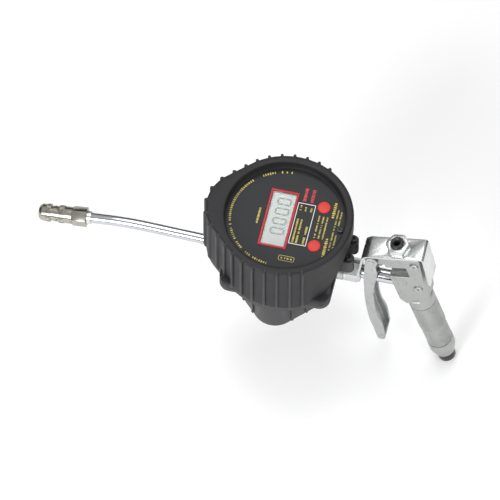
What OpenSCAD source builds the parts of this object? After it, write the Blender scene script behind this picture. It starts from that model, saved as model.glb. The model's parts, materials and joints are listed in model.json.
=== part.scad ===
// Digital metered grease-control gun: an oval-gear meter with a display, a bent outlet
// tube with a four-jaw coupler, and a pistol valve with a squeeze lever.
// Origin: centre of the meter's flat back. +X runs to the pistol, +Z out of the display.

/* [Meter] */
// Outer radius of the ribbed guard
guard_r = 60.5; // [58:0.5:62]
// Radius of the guard's nose on the outlet side
nose_r = 38; // [36:1:40]
// Distance of the nose's centre from the meter's axis
nose_offset = 33; // [31:1:35]
// Height of the guard's top rim above the back
rim_z = 98; // [96:1:102]
// Height of the printed face
face_z = 88; // [86:0.5:90]
// Radius of the opening in the rim
rim_opening_r = 53.5; // [52:0.5:54]
// Height of the seam between guard and lower shell
seam_z = 38; // [37:1:40]
// Height of the flow axis above the back
flow_z = 25.5; // [25:0.5:26]
// Number of ribs on each side of the middle rib
ribs_per_side = 11; // [8:1:11]
// Angle between ribs
rib_pitch = 10.65; // [10:0.05:10.65]
// How far a rib stands out
rib_h = 2.3; // [1.5:0.1:3]
// Width of a rib
rib_w = 2.3; // [1.8:0.1:3]
// Height of the arch cut in the guard above the inlet
arch_h = 43; // [38:1:44]
// Half-width of the arch at the seam
arch_half_w = 43; // [40:1:44]
// Half-side of the square flange that carries the ears
ear_half = 50; // [49:0.5:51]
// Corner radius of the ears
ear_r = 10; // [8:1:12]
// Distance from the middle to the diamond's sharp corner
diamond_c = 67; // [66:0.5:68]
// Corner radius of the diamond
diamond_r = 20; // [18:1:22]
// Where the diamond is cut off flat on the inlet side
shell_end = 46; // [45:0.5:47]

/* [Face] */
// Radius of a push button
button_r = 5.8; // [5:0.1:6.2]
// Distance of the buttons from the middle, towards the inlet
button_x = 30.6; // [30:0.2:32]
// Distance of each button from the centre line
button_y = 20; // [19:0.5:21]
// Size of the display bezel along the flow
bezel_x = 25; // [24:0.5:26]
// Size of the display bezel across the flow
bezel_y = 58; // [56:0.5:60]
// Middle of the bezel, towards the outlet
bezel_offset = 6; // [5.5:0.5:6.5]

/* [Gears] */
// Long half-axis of an oval gear
gear_a = 15; // [14:0.25:15.5]
// Short half-axis of an oval gear
gear_b = 10; // [9:0.25:10.5]
// Gear thickness
gear_h = 14; // [12:0.5:14.5]

/* [Tubes] */
// Outside radius of the outlet tube
tube_r = 4.75; // [4.5:0.05:5]
// Bore radius of the outlet tube
tube_bore_r = 3; // [2.5:0.1:3.2]
// Upward tilt of the straight part of the outlet tube
tube_rise = 2; // [1:0.5:3]
// Angle of the bend
tube_bend = 10.5; // [8:0.5:12]
// Radius of the bend
bend_r = 200; // [180:10:220]
// Outside radius of the flow tube between meter and pistol
flow_r = 6.5; // [6:0.1:6.6]

/* [Pistol] */
// Lean of the pistol from square to the flow axis
lean = 15; // [14:0.5:16]
// Place of the pistol's axis on the flow axis
pistol_x = 117; // [116:0.5:118]
// Radius of the handle
grip_r = 12.1; // [11.8:0.1:12.4]
// Half-width of the valve body
body_hw = 11; // [10.8:0.1:11.2]
// Thickness of the support bracket
sheet = 2; // [1.8:0.1:2.2]
// Across flats of the bracket nut
nut_af = 19; // [18:0.5:20]

/* [Lever] */
// Half-width of the lever over its cheeks
lever_hw = 10.5; // [10.3:0.1:10.7]
// Thickness of a cheek
cheek = 2.4; // [2.2:0.1:2.5]
// Place of the lever pivot along the pistol's own X
pivot_l = -27; // [-27.5:0.5:-26.5]
// Height of the lever pivot on the pistol's own Z
pivot_n = 44; // [43.5:0.5:44.5]

/* [Hidden] */
$fn = 64;

gear_gap = gear_a + gear_b;
gear_clear = 0.35;
chamber_z = 17;
cover_z = chamber_z + gear_h + 1;
gear_z = chamber_z + 0.4;
pin_r = 2.5;
run = 0.05;
wall = 4;
board_z = 76;
plate_t = 2;
straight_x = -125;
straight_len = (-straight_x - 50) / cos(tube_rise);
drop = tube_bend - tube_rise;
bend_end_x = straight_x - bend_r * (sin(tube_rise) + sin(drop));
bend_top_z = flow_z + 75 * tan(tube_rise);
bend_end_z = bend_top_z - bend_r * (cos(tube_rise) - cos(drop));
tail = 21;
coupler_x = bend_end_x - tail * cos(drop);
coupler_z = bend_end_z - tail * sin(drop);
plate_n = 54.5;
plate_under = plate_n - sheet;
nut_h = 8;
stem_n = 31;
stem_r = 3;
stem_head = -24.6;
// Wire and pitch of the valve spring. Its four coils close to 2.4, and the stem leaves them 3.4
wire_r = 0.3;
coil_pitch = 1.83;
screw_head_r = 3.4;
seal_r = 4;
face_screw_x = 49.5;
far = 200;

// ---- shared shapes -------------------------------------------------------

// Places its children on the pistol: origin where its axis crosses the flow axis
module on_pistol() translate([pistol_x, 0, flow_z]) rotate([0, -lean, 0]) children();

// Places its children on the coupler: +Z points out of the mouth
module on_coupler() translate([coupler_x, 0, coupler_z]) rotate([0, -90 - drop, 0]) children();

// A cylinder along +X that starts at x0
module rod_x(x0, len, r) translate([x0, 0, 0]) rotate([0, 90, 0]) cylinder(h = len, r = r);

// Extrudes an outline drawn in X and Z across the centre line
module slab(half_w) rotate([90, 0, 0]) linear_extrude(2 * half_w, center = true) children();

// A hexagonal prism by its size across flats
module hex(af, h) cylinder(h = h, r = af / sqrt(3), $fn = 6);

module ring(r_out, r_in, h) {
  difference() {
    cylinder(h = h, r = r_out);
    translate([0, 0, -1]) cylinder(h = h + 2, r = r_in);
  }
}

// Socket-head cap screw, head up, top of the head at z = 0
module cap_screw(head_r, head_h, shank_r, shank_len) {
  difference() {
    union() {
      translate([0, 0, -head_h]) cylinder(h = head_h, r = head_r);
      translate([0, 0, -head_h - shank_len]) cylinder(h = shank_len + 0.5, r = shank_r);
    }
    translate([0, 0, -head_h * 0.6]) hex(head_r * 0.95, head_h);
  }
}

module rounded_square(half, r) {
  hull() for (x = [-1, 1], y = [-1, 1]) translate([x * (half - r), y * (half - r)]) circle(r, $fn = 48);
}

// A square on its corner, cut off flat on the inlet side
module diamond(c, r, end) intersection() {
  rotate(45) rounded_square(c / sqrt(2), r);
  translate([-far, -far]) square([far + end, 2 * far]);
}

module guard_outline(grow = 0) {
  hull() {
    circle(guard_r + grow, $fn = 96);
    translate([-nose_offset, 0]) circle(nose_r + grow, $fn = 72);
  }
}

// Distance from the meter's axis to the guard's wall, at an angle from the nose
nose_tan = acos((guard_r - nose_r) / nose_offset);
nose_edge = atan2(nose_r * sin(nose_tan), nose_offset + nose_r * cos(nose_tan));
function wall_r(a) =
  a > nose_tan ? guard_r :
  a > nose_edge ? guard_r / cos(nose_tan - a) :
  nose_offset * cos(a) + sqrt(pow(nose_r, 2) - pow(nose_offset * sin(a), 2));

// ---- meter ---------------------------------------------------------------

module guard_ribs() {
  for (k = [-ribs_per_side:ribs_per_side]) {
    a = k * rib_pitch;
    rotate(180 + a) translate([wall_r(abs(a)) - 2, -rib_w / 2, seam_z + 0.6])
      cube([2 + rib_h, rib_w, rim_z - seam_z - 1.2]);
  }
}

module arch_outline(steps = 16) {
  side = [for (i = [-steps:steps]) arch_half_w * i / steps];
  polygon(concat(
    [[-arch_half_w, seam_z - 1]],
    [for (y = side) [y, seam_z + arch_h * (1 - pow(y / arch_half_w, 2))]],
    [[arch_half_w, seam_z - 1]]));
}

module rubber_guard() color("#1d1d1f") {
  difference() {
    union() {
      translate([0, 0, seam_z]) linear_extrude(rim_z - seam_z) guard_outline();
      translate([0, 0, seam_z]) linear_extrude(6) rounded_square(ear_half, ear_r);
      guard_ribs();
    }
    translate([0, 0, face_z]) cylinder(h = 20, r = rim_opening_r);
    translate([0, 0, seam_z - 1]) cylinder(h = face_z - seam_z + 2, r = 52.2);
    rotate([90, 0, 90]) linear_extrude(far) arch_outline();
  }
}

module lower_shell() color("#242426") {
  difference() {
    union() {
      linear_extrude(32) diamond(diamond_c, diamond_r, shell_end);
      translate([0, 0, 31]) linear_extrude(seam_z - 31) rounded_square(ear_half, ear_r);
      translate([0, 0, 31]) linear_extrude(seam_z - 31) intersection() {
        guard_outline(-0.5);
        translate([-far, -far]) square([far + 45, 2 * far]);
      }
    }
    translate([0, 0, wall]) linear_extrude(far) diamond(diamond_c - 6, diamond_r - 4, shell_end - wall);
    translate([0, 0, flow_z]) rod_x(-far, far, 10.2);
    translate([0, 0, flow_z]) rod_x(0, far, 11.6);
    ear_places() translate([0, 0, -far]) cylinder(h = 2 * far, r = 2.2);
    ear_places() translate([0, 0, -far]) cylinder(h = far + 33, r = 4.1);
  }
}

module ear_places() {
  for (x = [-1, 1], y = [-1, 1]) translate([x * (ear_half - ear_r), y * (ear_half - ear_r), 0]) children();
}

module ear_screws() color("#2a2a2c")
  ear_places() translate([0, 0, 29.6]) mirror([0, 0, 1]) cap_screw(3.9, 3.4, 2.1, 5);

// Places its children on the two lugs above the inlet
module lug_places() for (y = [-1, 1]) translate([59.5, y * 9.5, 0]) children();

module display_housing() color("#202022") {
  difference() {
    union() {
      translate([0, 0, seam_z + 0.2]) cylinder(h = face_z - plate_t - seam_z - 0.2, r = 52);
      lug_places() translate([0, 0, 43]) cylinder(h = 17, r = 5);
      for (y = [-1, 1]) translate([45, y * 9.5 - 5, 43]) cube([14.5, 10, 17]);
    }
    translate([0, 0, seam_z + 6]) cylinder(h = far, r = 48);
    translate([0, 0, seam_z - 1]) cylinder(h = 10, r = 8);
    lug_places() translate([0, 0, 48]) cylinder(h = 20, r = 1.8);
    translate([face_screw_x, 0, face_z - 6]) cylinder(h = far, r = 1.6);
  }
}

module lug_screws() color("#3a3a3c") lug_places() translate([0, 0, 63.2]) cap_screw(screw_head_r, 3.2, 1.8, 11);

module meter_body() color("#8c8d90") {
  difference() {
    union() {
      translate([0, 0, wall]) linear_extrude(cover_z - wall)
        diamond(diamond_c - 6.8, diamond_r - 4.4, shell_end - wall - 0.4);
      translate([0, 0, flow_z]) rod_x(41, 13, 11.3);
    }
    for (y = [-1, 1]) translate([0, y * gear_gap / 2, chamber_z])
      cylinder(h = far, r = gear_a + gear_clear);
    for (y = [-1, 1]) translate([0, y * gear_gap / 2, wall + 2]) cylinder(h = far, r = pin_r);
    translate([0, 0, flow_z]) rod_x(-far, 2 * far, 4);
    translate([0, 0, flow_z]) rod_x(47, far, 6.9);
    translate([0, 0, flow_z]) rod_x(-far, far - 46.6, 6);
    cover_places() translate([0, 0, 22]) cylinder(h = far, r = 1.6);
  }
}

module cover_places() for (a = [0:90:270]) rotate(a) translate([30, 12, 0]) children();

module chamber_cover() color("#9a9b9e") {
  difference() {
    translate([0, 0, cover_z]) cylinder(h = 3, r = 40);
    cover_places() cylinder(h = far, r = 1.6);
  }
}

module cover_screws() color("#4a4a4c")
  cover_places() translate([0, 0, cover_z + 5.4]) cap_screw(3, 2.4, 1.6, 9);

function oval_r(t) = gear_a * gear_b * 2 / ((gear_a + gear_b) - (gear_a - gear_b) * cos(2 * t));

// Two-lobed pitch curve with shallow teeth
module oval_gear(teeth = 24, steps = 144) {
  difference() {
    linear_extrude(gear_h) polygon([for (i = [0:steps - 1])
      let (t = 360 * i / steps, r = oval_r(t) - 0.75 + 0.35 * cos(teeth * t))
      r * [cos(t), sin(t)]]);
    translate([0, 0, -1]) cylinder(h = gear_h + 2, r = pin_r + run);
  }
}

module oval_gear_a() color("#c9cbd0") translate([0, gear_gap / 2, gear_z]) rotate(90) oval_gear();

module oval_gear_b() color("#c9cbd0") translate([0, -gear_gap / 2, gear_z]) oval_gear();

module gear_pins() color("#b0b2b6")
  for (y = [-1, 1]) translate([0, y * gear_gap / 2, wall + 2]) cylinder(h = cover_z - wall - 2, r = pin_r);

module inlet_washer() color("#8a5a3a") translate([54, 0, flow_z]) rotate([0, 90, 0]) ring(10.5, 6.9, 1.2);

// ---- face ----------------------------------------------------------------

module button_places(side) translate([button_x, side * button_y, 0]) children();

module face_plate() color("#141415") {
  difference() {
    translate([0, 0, face_z - plate_t]) cylinder(h = plate_t, r = 52);
    for (s = [-1, 1]) button_places(s) cylinder(h = far, r = button_r + 0.3);
    translate([-bezel_offset, 0, 0]) linear_extrude(far) square([bezel_x - 4, bezel_y - 4], center = true);
    translate([face_screw_x, 0, 0]) cylinder(h = far, r = 1.6);
  }
}

module lcd_bezel() color("#b3202c") translate([-bezel_offset, 0, face_z]) {
  difference() {
    translate([-bezel_x / 2, -bezel_y / 2, 0]) cube([bezel_x, bezel_y, 0.8]);
    translate([-bezel_x / 2 + 1.6, -bezel_y / 2 + 1.6, -1]) cube([bezel_x - 3.2, bezel_y - 3.2, 4]);
  }
}

module lcd_window() color("#cfd6cf") translate([-bezel_offset, 0, face_z - 1.5])
  linear_extrude(1.4) square([bezel_x - 4.2, bezel_y - 4.2], center = true);

module lcd_panel() color("#b8beb4") translate([-bezel_offset - 13, -30.5, board_z + 1.6]) cube([26, 61, 8]);

module circuit_board() color("#1f5a36") {
  difference() {
    translate([0, 0, board_z]) cylinder(h = 1.6, r = 47);
    translate([44, 0, 0]) cylinder(h = far, r = 4);
  }
}

module battery_cells() color("#5a5d62")
  for (y = [-8, 8]) translate([-25, y, seam_z + 13.2]) rotate([0, 90, 0]) cylinder(h = 50, r = 7.2);

module button(side) {
  button_places(side) {
    translate([0, 0, face_z - plate_t - 1.4]) cylinder(h = 1.2, r = button_r + 1.4);
    translate([0, 0, face_z - plate_t - 0.4]) cylinder(h = plate_t + 1.9, r = button_r);
    translate([0, 0, face_z - plate_t - 5]) cylinder(h = 4, r = 1.5);
  }
}

module button_reset() color("#d2303a") button(1);

module button_function() color("#d2303a") button(-1);

module key_switches() color("#2b2b2b")
  for (s = [-1, 1]) button_places(s) translate([-3, -3, board_z + 1.6]) cube([6, 6, 1.9]);

module face_screw() color("#101011") translate([face_screw_x, 0, face_z + 2.5]) cap_screw(2.6, 2.5, 1.6, 5);

// ---- outlet --------------------------------------------------------------

module outlet_tube() color("#d4d6da") {
  difference() {
    outlet_run(tube_r, 0);
    outlet_run(tube_bore_r, 1);
  }
}

// The straight stretch, from the bend back to the meter
module outlet_straight(r, extra) translate([straight_x, 0, bend_top_z]) rotate([0, 90 + tube_rise, 0])
  cylinder(h = straight_len + extra, r = r);

// The outlet tube's straight, bend and tail, with any extra length at both ends. The bend
// is a hair thinner and runs a little into its neighbours, so that the three are one piece.
bend_lap = 0.08;
bend_thin = 0.04;

module outlet_run(r, extra) {
  outlet_straight(r, extra);
  translate([straight_x - bend_r * sin(tube_rise), 0, bend_top_z - bend_r * cos(tube_rise)])
    rotate([90, 0, 0]) rotate(90 - tube_rise - bend_lap)
      rotate_extrude(angle = tube_bend + 2 * bend_lap, $fn = 360)
        translate([bend_r, 0]) circle(r - bend_thin, $fn = 48);
  translate([bend_end_x, 0, bend_end_z]) rotate([0, -90 - drop, 0]) cylinder(h = tail + extra, r = r);
}

module outlet_gland() color("#c4c6ca") {
  difference() {
    translate([0, 0, flow_z]) union() {
      rod_x(-62, 7.6, 9.8);
      rod_x(-54.6, 8, 6);
    }
    outlet_straight(tube_r, 5);
  }
}

// ---- coupler -------------------------------------------------------------

module coupler_hex() color("#a9a79f") on_coupler() {
  difference() {
    union() {
      translate([0, 0, -3]) hex(15.5, 13);
      translate([0, 0, 9]) cylinder(h = 24, r = 5.2);
    }
    translate([0, 0, -4]) cylinder(h = 9, r = tube_r);
    translate([0, 0, -5]) cylinder(h = far, r = 2);
    translate([0, 0, 26]) cylinder(h = far, r = seal_r);
  }
}

module coupler_sleeve() color("#b5b2a8") on_coupler() {
  difference() {
    union() {
      translate([0, 0, 10.3]) cylinder(h = 12.5, r = 7.7);
      translate([0, 0, 22]) cylinder(h = 9, r = 6.6);
      translate([0, 0, 24.5]) cylinder(h = 3, r = 7.2);
      translate([0, 0, 30]) cylinder(h = 8, r = 7.7);
      translate([0, 0, 38]) cylinder(h = 2.6, r1 = 7.7, r2 = 6.2);
    }
    translate([0, 0, 9]) cylinder(h = 24.6, r = 5.2 + run);
    translate([0, 0, 33]) cylinder(h = far, r = 5.2);
    for (a = [0:90:270]) rotate(a) translate([0, 0, 23.3]) rotate([0, 90, 0]) cylinder(h = 20, r = 1);
  }
}

module coupler_jaws() color("#8f8d86") on_coupler() {
  difference() {
    translate([0, 0, 33]) ring(5.1, 3.3, 6.6);
    for (a = [45, 135]) rotate(a) translate([-10, -0.5, 0]) cube([20, 1, far]);
  }
}

module coupler_seal() color("#1a1a1a") on_coupler() translate([0, 0, 29]) ring(seal_r, 1.6, 4);

// ---- inlet side of the meter --------------------------------------------

module inlet_fitting() color("#c9cbcd") translate([0, 0, flow_z]) {
  difference() {
    union() {
      rod_x(47, 8.4, 6.9);
      rod_x(55.2, 2.4, 11);
      translate([57, 0, 0]) rotate([0, 90, 0]) hex(19, front_leg_x - 57);
    }
    rod_x(0, far, 4);
    rod_x(62, far, flow_r);
  }
}

module flow_tube() color("#dcdee2") translate([0, 0, flow_z]) {
  difference() {
    rod_x(62, pistol_x - 8 - 62, flow_r);
    rod_x(0, far, 4);
  }
}

// ---- bracket -------------------------------------------------------------

// Points of an arc about c, from angle a0 to a1
function arc(c, r, a0, a1, steps = 10) =
  [for (i = [0:steps]) let (a = a0 + (a1 - a0) * i / steps) c + r * [cos(a), sin(a)]];

// Turns a point on the pistol into the meter's X and Z
function pistol_xz(p) = [pistol_x + p[0] * cos(lean) - p[1] * sin(lean),
  flow_z + p[0] * sin(lean) + p[1] * cos(lean)];

leg_tilt = 8;
front_leg_x = 67.6;
front_knee_z = flow_z + 12;
front_bend_r = 9;
rear_bend_r = 3.5;
rear_tilt = 5;
rear_l = 24.5;
front_c = pistol_xz([-26.5, plate_n - front_bend_r]);
rear_c = pistol_xz([rear_l - rear_bend_r, plate_n - rear_bend_r]);
rear_foot = pistol_xz([rear_l - 44 * sin(rear_tilt), plate_n - 44 * cos(rear_tilt)]);

function bracket_line(inset) =
  let (knee = [front_leg_x + inset, front_knee_z],
       out = [cos(lean - rear_tilt), sin(lean - rear_tilt)])
  concat(
    [[front_leg_x + inset, 0], knee],
    arc(front_c, front_bend_r - inset, 180 - leg_tilt, 90 + lean),
    arc(rear_c, rear_bend_r - inset, 90 + lean, lean - rear_tilt, 6),
    [rear_foot - inset * out]);

module bracket_profile() {
  outer = bracket_line(0);
  inner = bracket_line(sheet);
  polygon(concat(outer, [for (i = [len(inner) - 1:-1:0]) inner[i]]));
}

// Front view of the bracket: full width above, narrowed to an eye round the flow tube
module bracket_face() {
  eye_r = 10;
  top = [[-body_hw, 45], [-body_hw, far], [body_hw, far], [body_hw, 45]];
  polygon(concat(top, arc([0, flow_z], eye_r, 8, -188, 24)));
}

module support_bracket() color("#c3c7ca") {
  difference() {
    intersection() {
      slab(body_hw) bracket_profile();
      rotate([90, 0, 90]) linear_extrude(far) bracket_face();
    }
    translate([0, 0, flow_z]) rod_x(0, far / 2.2, flow_r);
    on_pistol() translate([0, 0, 40]) cylinder(h = far, r = 6);
  }
}

module bracket_nut() color("#d5d7d9") on_pistol() translate([0, 0, plate_n]) {
  difference() {
    intersection() {
      hex(nut_af, nut_h);
      cylinder(h = nut_h, r1 = nut_af * 0.6, r2 = nut_af * 0.545);
    }
    translate([0, 0, -1]) cylinder(h = far, r = 6);
  }
}

module nut_plug() color("#161617") on_pistol() translate([0, 0, 44]) {
  difference() {
    union() {
      cylinder(h = plate_n + nut_h - 44, r = 6);
      translate([0, 0, plate_n + nut_h - 44]) cylinder(h = 2.4, r1 = 6.4, r2 = 5.4);
    }
    translate([0, 0, 12]) cylinder(h = far, r = 2.9);
  }
}

// ---- pistol --------------------------------------------------------------

module valve_body() color("#9fa29f") on_pistol() {
  difference() {
    union() {
      slab(body_hw) polygon([[-14.4, plate_under], [20, plate_under], [14.5, 5], [12.4, -12], [11, -20],
        [-10, -20], [-14.4, -13]]);
      slab(7.6) polygon([[-28, 38], [-12, 38], [-12, 51], [-28, 51]]);
      translate([pivot_l, 0, pivot_n]) rotate([90, 0, 0]) cylinder(h = 15.2, r = 6.6, center = true);
      translate([0, 0, -29.6]) cylinder(h = 12, r = grip_r + 0.3);
    }
    translate([-20, -20, 24]) cube([24.5, 27, 14.5]);
    translate([0, 0, -far]) cylinder(h = far + 20, r = 5);
    translate([0, 0, stem_n]) rod_x(-30, 40, stem_r + run);
    translate([0, 0, stem_n]) rod_x(9, 6.4, 5);
    translate([0, 0, 44]) cylinder(h = far, r = 6);
    translate([pivot_l, 0, pivot_n]) rotate([90, 0, 0]) cylinder(h = far, r = 2.5 + run, center = true);
    rotate([0, lean, 0]) rod_x(-far, far - 8, flow_r);
    rotate([0, lean, 0]) rod_x(-14, 14, 4);
    screw_places() translate([0, 0, -1.2]) cylinder(h = 5, r = 4);
    screw_places() translate([0, 0, -9]) cylinder(h = 10, r = 1.8);
    translate([-3.5, -body_hw, 12]) rotate([90, 20, 0]) cube([3.4, 9, 1.6], center = true);
  }
}

// The two cross screws on the near side: +Z points out of the side
module screw_places() {
  for (p = [[13.3, 43.3], [7.9, 6]]) translate([p[0], -body_hw, p[1]]) rotate([90, 0, 0]) children();
}

module body_screws() color("#b9bbbd") on_pistol() screw_places() {
  difference() {
    union() {
      translate([0, 0, -1.2]) cylinder(h = 2.6, r1 = 3.9, r2 = 3.1);
      translate([0, 0, -8.5]) cylinder(h = 8, r = 1.8);
    }
    for (a = [0, 90]) rotate(a) translate([-2, -0.45, 0.2]) cube([4, 0.9, 4]);
  }
}

module valve_stem() color("#8f8f86") on_pistol() translate([0, 0, stem_n]) {
  rod_x(stem_head, 8.8 - stem_head, stem_r);
  rod_x(stem_head, 2, 4.2);
}

module valve_spring() color("#a8aaad") on_pistol() translate([9.2, 0, stem_n])
  rotate([0, 90, 0]) for (i = [0:3]) translate([0, 0, wire_r + i * coil_pitch]) rotate_extrude()
    translate([3.6, 0]) circle(wire_r, $fn = 16);

// Front edge of the lever, top to bottom, then its rear edge, bottom to top
lever_front = [[-32, 46], [-40.4, 18], [-48, -15], [-52.6, -47], [-53, -67], [-53.5, -82]];
lever_rear = [[-46, -81], [-43.2, -61], [-44.2, -46], [-42.6, -30], [-37, -5], [-25.5, 25]];

// A smooth line through given points
function smooth(p, steps = 6) = concat(
  [for (i = [0:len(p) - 2], j = [0:steps - 1])
    let (t = j / steps, a = p[max(i - 1, 0)], b = p[i], c = p[i + 1], d = p[min(i + 2, len(p) - 1)])
    0.5 * (2 * b + (c - a) * t + (2 * a - 5 * b + 4 * c - d) * pow(t, 2)
      + (3 * b - a - 3 * c + d) * pow(t, 3))],
  [p[len(p) - 1]]);

module lever_outline() {
  polygon(concat(smooth(lever_front), arc([-49.7, -82], 3.8, 180, 360, 8), smooth(lever_rear),
    arc([pivot_l, pivot_n], 6.2, -60, 120, 12)));
}

module trigger_lever() color("#b4b7b6") on_pistol() {
  difference() {
    slab(lever_hw) lever_outline();
    slab(lever_hw - cheek) union() {
      translate([cheek + 0.4, 0]) intersection() {
        lever_outline();
        translate([-100, -83]) square([200, 81]);
      }
      translate([-60, -2.2]) square([60, 70]);
      translate([-44, -83]) square([20, 81]);
    }
    translate([pivot_l, 0, pivot_n]) rotate([90, 0, 0]) cylinder(h = far, r = 2.5, center = true);
    translate([pivot_l, 0, stem_n]) rotate([90, 0, 0]) cylinder(h = far, r = 2, center = true);
  }
}

module lever_pin() color("#c9cbce") on_pistol() translate([pivot_l, 0, pivot_n]) rotate([90, 0, 0])
  cylinder(h = 2 * lever_hw + 0.8, r = 2.5, center = true);

module actuator_pin() color("#c9cbce") on_pistol() translate([pivot_l, 0, stem_n]) rotate([90, 0, 0])
  cylinder(h = 2 * lever_hw, r = 2, center = true);

module grip_barrel() color("#9da09c") on_pistol() {
  difference() {
    union() {
      translate([0, 0, -66.2]) cylinder(h = 35.8, r = grip_r);
      translate([0, 0, -68]) cylinder(h = 38.4, r = grip_r - 1);
      translate([0, 0, -92]) cylinder(h = 25, r = grip_r - 0.7);
    }
    translate([0, 0, -far]) cylinder(h = 2 * far, r = 5);
  }
}

module grip_collar() color("#a3a6a3") on_pistol() {
  difference() {
    union() {
      translate([0, 0, -103]) cylinder(h = 10.4, r = grip_r - 0.3);
      translate([0, 0, -113]) cylinder(h = 10, r1 = 8.4, r2 = grip_r - 0.3);
      translate([0, 0, -93]) cylinder(h = 1, r = grip_r - 1.4);
    }
    translate([0, 0, -far]) cylinder(h = 2 * far, r = 5);
    translate([0, 0, -far]) cylinder(h = far - 103, r = 6.5 + run);
    translate([0, 0, -108.6]) cylinder(h = 3.2, r = 7.3);
  }
}

module swivel_seal() color("#0f0f0f") on_pistol() translate([0, 0, -104]) ring(6.3, 4, 0.9);

module inlet_swivel() color("#151516") on_pistol() {
  difference() {
    union() {
      translate([0, 0, -114]) cylinder(h = 9.8, r = 6.5);
      translate([0, 0, -108.3]) cylinder(h = 2.6, r = 7.1);
      translate([0, 0, -121]) cylinder(h = 7.6, r = 7.9);
    }
    translate([0, 0, -far]) cylinder(h = 2 * far, r = 3.6);
    translate([0, 0, -122]) cylinder(h = 11, r = 5.7);
  }
}

rubber_guard();
lower_shell();
display_housing();
meter_body();
chamber_cover();
cover_screws();
oval_gear_a();
oval_gear_b();
gear_pins();
ear_screws();
lug_screws();
face_plate();
lcd_bezel();
lcd_window();
lcd_panel();
circuit_board();
battery_cells();
button_reset();
button_function();
key_switches();
face_screw();
inlet_washer();
outlet_tube();
outlet_gland();
coupler_hex();
coupler_sleeve();
coupler_jaws();
coupler_seal();
inlet_fitting();
flow_tube();
support_bracket();
bracket_nut();
nut_plug();
valve_body();
valve_stem();
valve_spring();
body_screws();
trigger_lever();
lever_pin();
actuator_pin();
grip_barrel();
grip_collar();
inlet_swivel();
swivel_seal();
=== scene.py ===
"""Looks of the metered grease gun: finishes, rounded edges, ribs, knurling and printed marks.

Pieces are drawn in millimetres in the gun's own frame, and are made in metres.
"""
import json
from math import acos, atan2, ceil, cos, pi, radians, sin, sqrt

import bmesh
import bpy
from mathutils import Matrix, Vector


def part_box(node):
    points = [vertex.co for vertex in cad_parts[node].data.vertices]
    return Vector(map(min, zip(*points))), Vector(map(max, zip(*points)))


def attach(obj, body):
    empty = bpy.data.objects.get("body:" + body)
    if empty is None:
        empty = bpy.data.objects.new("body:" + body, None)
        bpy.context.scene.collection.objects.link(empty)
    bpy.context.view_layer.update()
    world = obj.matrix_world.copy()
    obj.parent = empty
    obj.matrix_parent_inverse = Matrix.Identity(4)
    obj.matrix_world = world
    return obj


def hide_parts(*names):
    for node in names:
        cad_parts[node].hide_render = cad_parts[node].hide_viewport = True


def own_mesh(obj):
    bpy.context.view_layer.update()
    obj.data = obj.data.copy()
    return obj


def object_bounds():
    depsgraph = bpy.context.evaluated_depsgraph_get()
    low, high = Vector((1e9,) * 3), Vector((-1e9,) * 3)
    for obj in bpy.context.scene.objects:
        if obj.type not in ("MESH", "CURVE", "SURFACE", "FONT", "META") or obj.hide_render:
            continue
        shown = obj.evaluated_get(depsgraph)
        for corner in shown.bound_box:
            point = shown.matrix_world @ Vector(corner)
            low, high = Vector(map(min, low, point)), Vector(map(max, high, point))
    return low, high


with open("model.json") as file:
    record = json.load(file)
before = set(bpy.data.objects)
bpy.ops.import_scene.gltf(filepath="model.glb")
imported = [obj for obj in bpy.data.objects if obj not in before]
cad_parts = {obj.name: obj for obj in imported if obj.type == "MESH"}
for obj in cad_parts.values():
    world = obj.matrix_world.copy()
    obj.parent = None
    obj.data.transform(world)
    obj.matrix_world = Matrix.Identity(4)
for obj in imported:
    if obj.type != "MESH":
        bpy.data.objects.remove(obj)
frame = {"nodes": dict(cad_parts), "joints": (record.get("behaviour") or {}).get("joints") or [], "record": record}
cad_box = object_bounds()

MM = 0.001
ACROSS = Vector((0, 1, 0))
NODES = frame["nodes"]
JOINTS = {joint["name"]: joint for joint in frame["joints"]}


# ---- places, read from the frame -------------------------------------------

def low_mm(node):
    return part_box(node)[0] / MM


def high_mm(node):
    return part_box(node)[1] / MM


def along(origin, axis):
    """A place, in millimetres, whose own Z runs along an axis that lies in the gun's middle plane."""
    z = Vector(axis).normalized()
    x = ACROSS.cross(z)
    turn = Matrix((x, ACROSS, z)).transposed().to_4x4()
    return Matrix.Translation(origin) @ turn


def joint_place(name, back_off):
    """A point on a joint's axis, moved back along it by some millimetres, and the axis."""
    joint = JOINTS[name]
    axis = Vector(joint["axis"])
    return Vector(joint["pos_m"]) / MM - axis * back_off, axis


SEAM_Z = low_mm("rubber_guard").z
RIM_Z = high_mm("rubber_guard").z
FACE_Z = high_mm("face_plate").z
FLOW_Z = (low_mm("flow_tube").z + high_mm("flow_tube").z) / 2
coupler_origin, coupler_axis = joint_place("sleeve_turn", 25)
COUPLER = along(coupler_origin, coupler_axis)
pistol_origin, down_handle = joint_place("swivel_turn", 108)
PISTOL = along(pistol_origin, -down_handle)
FLOW = along((0, 0, FLOW_Z), (1, 0, 0))
UPRIGHT = Matrix.Identity(4)

# Sizes of the meter's shells
GUARD_R = 60.5
NOSE_R = 38
NOSE_OFFSET = 33
OPENING_R = 53.5
BORE_R = 52.2
RIB_PITCH = radians(10.65)
RIBS_PER_SIDE = 11
RIB_H = 2.3
RIB_HALF_W = 1.35
KNURL_SPREAD = 1.15  # how far apart a knurl's teeth are round a band, against along it
RIB_STEPS = (-1.25, -1.0, -0.97, -0.85, -0.6, 0, 0.6, 0.85, 0.97, 1.0, 1.25)  # across a rib, in half widths
ARCH_H = 43
ARCH_HALF_W = 43
EAR_HALF = 50
EAR_R = 10
EAR_TOP = 6
DIAMOND_HALF = 67 / sqrt(2)
DIAMOND_R = 20
FLANGE_LOW = 31
WALL = 4
SHELL_END = 46


# ---- graphs: one way to write shader and geometry trees ---------------------

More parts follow.
